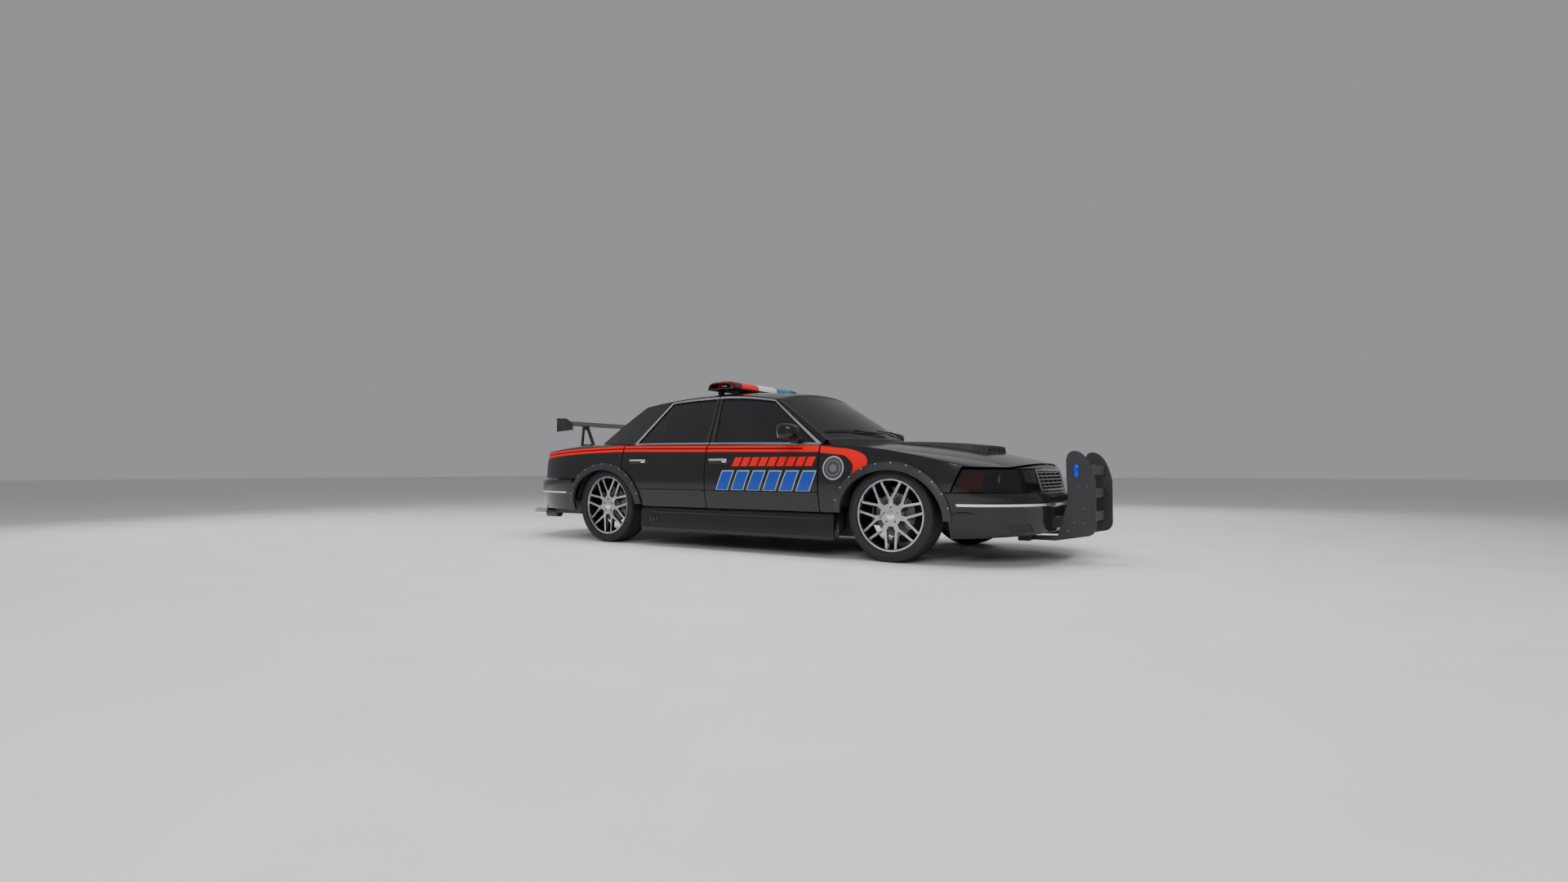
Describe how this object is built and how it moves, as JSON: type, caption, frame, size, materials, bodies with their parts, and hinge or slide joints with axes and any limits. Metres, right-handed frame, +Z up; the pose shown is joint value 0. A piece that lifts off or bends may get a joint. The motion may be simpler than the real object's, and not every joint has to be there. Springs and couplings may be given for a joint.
{
  "type": "patrol sedan",
  "caption": "Full-size four-door patrol sedan with opening doors, hood and trunk lid, steered and rolling wheels, push bar, roof light bar and rear wing.",
  "frame": {"origin": "on the ground under the middle of the car's length and width", "axes": "+X towards the car's front, +Y to its left, +Z up"},
  "size_m": [5.53, 2.156, 1.4783],
  "materials": {
    "paint": "gloss black",
    "trim": "satin dark grey",
    "under": "matte",
    "glass": "tinted",
    "lamp": "smoked",
    "tail": "smoked red",
    "lens": "coloured",
    "grey": "grey",
    "iron": "raw",
    "steel": "satin",
    "cloth": "woven",
    "alloy": "satin silver",
    "tyre": "matte"
  },
  "bodies": {
    "chassis": {"roof_panel": "paint", "quarter_panels": "paint", "front_fenders": "paint", "pillars": "paint", "rear_deck": "paint", "front_bumper": "paint", "rear_bumper": "paint", "cowl_panel": "trim", "wheel_flares": "trim", "side_skirts": "trim", "dashboard": "trim", "steering_wheel": "trim", "light_bar_base": "trim", "push_bar": "trim", "frame_rails": "under", "floor_pan": "under", "windshield": "glass", "rear_window": "glass", "headlamps": "lamp", "tail_lamps": "tail", "light_bar_lenses": "lens", "grille": "grey", "engine_block": "iron", "front_suspension": "iron", "rear_axle": "iron", "exhaust": "steel", "seats": "cloth"},
    "front_right_door": {"front_door_right": "paint", "front_glass_right": "glass", "mirror_right": "paint"},
    "front_left_door": {"front_door_left": "paint", "front_glass_left": "glass", "mirror_left": "paint"},
    "rear_right_door": {"rear_door_right": "paint", "rear_glass_right": "glass"},
    "rear_left_door": {"rear_door_left": "paint", "rear_glass_left": "glass"},
    "hood_lid": {"hood": "paint", "hood_scoop": "paint"},
    "trunk": {"trunk_lid": "paint", "rear_wing": "trim"},
    "left_knuckle": {"knuckle_left": "iron"},
    "right_knuckle": {"knuckle_right": "iron"},
    "front_left_wheel": {"wheel_front_left": "alloy", "tyre_front_left": "tyre"},
    "front_right_wheel": {"wheel_front_right": "alloy", "tyre_front_right": "tyre"},
    "rear_left_wheel": {"wheel_rear_left": "alloy", "tyre_rear_left": "tyre"},
    "rear_right_wheel": {"wheel_rear_right": "alloy", "tyre_rear_right": "tyre"}
  },
  "joints": [
    {"name": "front_right_door_hinge", "type": "hinge", "parent": "chassis", "child": "front_right_door", "pos_m": [0.8947, -0.99, 0.6], "axis": [0, 0, 1], "range_deg": [0, 65]},
    {"name": "front_left_door_hinge", "type": "hinge", "parent": "chassis", "child": "front_left_door", "pos_m": [0.8947, 0.99, 0.6], "axis": [0, 0, -1], "range_deg": [0, 65]},
    {"name": "rear_right_door_hinge", "type": "hinge", "parent": "chassis", "child": "rear_right_door", "pos_m": [-0.2173, -0.99, 0.6], "axis": [0, 0, 1], "range_deg": [0, 65]},
    {"name": "rear_left_door_hinge", "type": "hinge", "parent": "chassis", "child": "rear_left_door", "pos_m": [-0.2173, 0.99, 0.6], "axis": [0, 0, -1], "range_deg": [0, 65]},
    {"name": "hood_hinge", "type": "hinge", "parent": "chassis", "child": "hood_lid", "pos_m": [0.89677, 0, 0.85926], "axis": [0, -1, 0], "range_deg": [0, 55]},
    {"name": "trunk_hinge", "type": "hinge", "parent": "chassis", "child": "trunk", "pos_m": [-1.787, 0, 0.925], "axis": [0, 1, 0], "range_deg": [0, 75]},
    {"name": "steer_left", "type": "hinge", "parent": "chassis", "child": "left_knuckle", "pos_m": [1.457, 0.797, 0.345], "axis": [0, 0, 1], "range_deg": [-32, 32]},
    {"name": "steer_right", "type": "hinge", "parent": "chassis", "child": "right_knuckle", "pos_m": [1.457, -0.797, 0.345], "axis": [0, 0, 1], "range_deg": [-32, 32]},
    {"name": "front_left_roll", "type": "hinge", "parent": "left_knuckle", "child": "front_left_wheel", "pos_m": [1.457, 0.797, 0.345], "axis": [0, 1, 0], "continuous": true},
    {"name": "front_right_roll", "type": "hinge", "parent": "right_knuckle", "child": "front_right_wheel", "pos_m": [1.457, -0.797, 0.345], "axis": [0, 1, 0], "continuous": true},
    {"name": "rear_left_roll", "type": "hinge", "parent": "chassis", "child": "rear_left_wheel", "pos_m": [-1.457, 0.797, 0.345], "axis": [0, 1, 0], "continuous": true},
    {"name": "rear_right_roll", "type": "hinge", "parent": "chassis", "child": "rear_right_wheel", "pos_m": [-1.457, -0.797, 0.345], "axis": [0, 1, 0], "continuous": true}
  ],
  "couplings": [
    {"joint": "steer_right", "follows": "steer_left", "ratio": 1}
  ]
}
